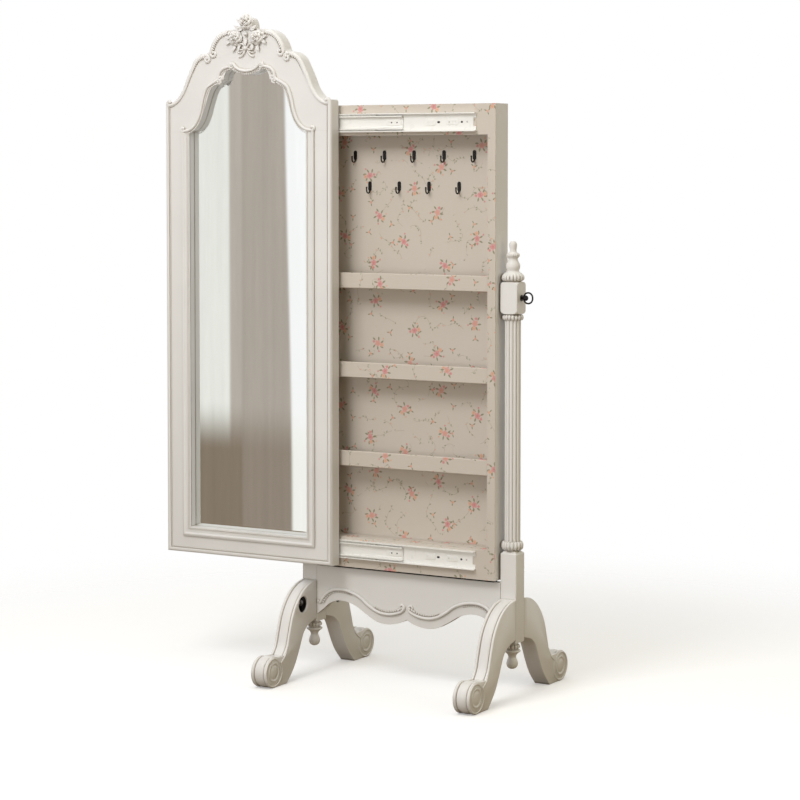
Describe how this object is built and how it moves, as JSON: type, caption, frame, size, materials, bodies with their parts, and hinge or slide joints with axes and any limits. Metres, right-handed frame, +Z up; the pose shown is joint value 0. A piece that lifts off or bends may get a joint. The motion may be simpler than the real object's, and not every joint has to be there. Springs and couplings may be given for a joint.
{
  "type": "cheval floor mirror",
  "caption": "Floor mirror on a turned stand with scroll feet: a carved arched mirror door slides sideways over a cloth-lined jewellery cabinet that tilts between the posts.",
  "frame": {"origin": "on the floor, midway between the four feet and under the middle of the tilt axis", "axes": "+Z up; +X to the right of someone who looks into the mirror; +Y to the rear, away from them"},
  "size_m": [1.009, 0.508, 1.651],
  "materials": {
    "pearl_white": "satin pearl-white paint over a light glaze",
    "slide_white": "white powder coat, semi-gloss",
    "lining_cloth": "woven cotton, floral print on beige",
    "covered_board": "board wrapped in the same floral cloth",
    "iron_black": "black oxide, satin",
    "zinc_steel": "zinc plated",
    "brass": "turned",
    "beech": "raw beech and board",
    "nylon": "natural nylon",
    "mirror_silver": "silvered glass with a polished bevel"
  },
  "bodies": {
    "stand": {"left_front_leg": "pearl_white", "left_rear_leg": "pearl_white", "right_front_leg": "pearl_white", "right_rear_leg": "pearl_white", "left_post": "pearl_white", "right_post": "pearl_white", "left_finial": "pearl_white", "right_finial": "pearl_white", "left_drop_finial": "pearl_white", "right_drop_finial": "pearl_white", "apron": "pearl_white", "apron_moulding": "pearl_white", "leg_bolts": "zinc_steel", "leg_nuts": "zinc_steel", "dowels": "beech", "pivot_bushings": "brass"},
    "cabinet": {"cabinet_left_side": "pearl_white", "cabinet_right_side": "pearl_white", "cabinet_top": "pearl_white", "cabinet_bottom": "pearl_white", "cabinet_back": "pearl_white", "top_rail": "pearl_white", "bottom_rail": "pearl_white", "face_lining": "lining_cloth", "bay_lining": "lining_cloth", "upper_shelf": "covered_board", "middle_shelf": "covered_board", "lower_shelf": "covered_board", "upper_lip": "covered_board", "middle_lip": "covered_board", "lower_lip": "covered_board", "necklace_hooks": "iron_black", "top_slide_outer": "slide_white", "bottom_slide_outer": "slide_white", "slide_screws": "zinc_steel", "back_screws": "zinc_steel", "pivot_inserts": "brass", "pivot_washers": "nylon"},
    "door": {"door_left_stile": "pearl_white", "door_right_stile": "pearl_white", "door_bottom_rail": "pearl_white", "door_crest": "pearl_white", "mirror_glass": "mirror_silver", "mirror_backing": "beech", "inner_moulding": "pearl_white", "outer_moulding": "pearl_white", "crest_roses": "pearl_white", "crest_bow": "pearl_white", "top_slide_inner": "slide_white", "bottom_slide_inner": "slide_white", "door_screws": "zinc_steel"},
    "top_slide_middle": {"top_slide_middle": "slide_white"},
    "bottom_slide_middle": {"bottom_slide_middle": "slide_white"},
    "top_outer_cage": {"top_outer_cage": "zinc_steel"},
    "top_inner_cage": {"top_inner_cage": "zinc_steel"},
    "bottom_outer_cage": {"bottom_outer_cage": "zinc_steel"},
    "bottom_inner_cage": {"bottom_inner_cage": "zinc_steel"},
    "left_pivot_knob": {"left_pivot_knob": "iron_black"},
    "right_pivot_knob": {"right_pivot_knob": "iron_black"}
  },
  "joints": [
    {"name": "cabinet_tilt", "type": "hinge", "parent": "stand", "child": "cabinet", "pos_m": [0, 0, 0.958], "axis": [1, 0, 0], "range_deg": [-15, 1.5]},
    {"name": "door_slide", "type": "slide", "parent": "cabinet", "child": "door", "axis": [1, 0, 0], "range_m": [0, 0.424]},
    {"name": "top_slide_middle_run", "type": "slide", "parent": "cabinet", "child": "top_slide_middle", "axis": [1, 0, 0], "range_m": [0, 0.2]},
    {"name": "top_outer_cage_run", "type": "slide", "parent": "cabinet", "child": "top_outer_cage", "axis": [1, 0, 0], "range_m": [0, 0.1]},
    {"name": "top_inner_cage_run", "type": "slide", "parent": "cabinet", "child": "top_inner_cage", "axis": [1, 0, 0], "range_m": [0, 0.312]},
    {"name": "bottom_slide_middle_run", "type": "slide", "parent": "cabinet", "child": "bottom_slide_middle", "axis": [1, 0, 0], "range_m": [0, 0.2]},
    {"name": "bottom_outer_cage_run", "type": "slide", "parent": "cabinet", "child": "bottom_outer_cage", "axis": [1, 0, 0], "range_m": [0, 0.1]},
    {"name": "bottom_inner_cage_run", "type": "slide", "parent": "cabinet", "child": "bottom_inner_cage", "axis": [1, 0, 0], "range_m": [0, 0.312]},
    {"name": "left_knob_turn", "type": "hinge", "parent": "cabinet", "child": "left_pivot_knob", "pos_m": [-0.303, 0, 0.958], "axis": [1, 0, 0], "continuous": true},
    {"name": "right_knob_turn", "type": "hinge", "parent": "cabinet", "child": "right_pivot_knob", "pos_m": [0.303, 0, 0.958], "axis": [1, 0, 0], "continuous": true}
  ],
  "couplings": [
    {"joint": "top_slide_middle_run", "follows": "door_slide", "ratio": 0.4717},
    {"joint": "top_outer_cage_run", "follows": "door_slide", "ratio": 0.23585},
    {"joint": "top_inner_cage_run", "follows": "door_slide", "ratio": 0.73585},
    {"joint": "bottom_slide_middle_run", "follows": "door_slide", "ratio": 0.4717},
    {"joint": "bottom_outer_cage_run", "follows": "door_slide", "ratio": 0.23585},
    {"joint": "bottom_inner_cage_run", "follows": "door_slide", "ratio": 0.73585}
  ]
}
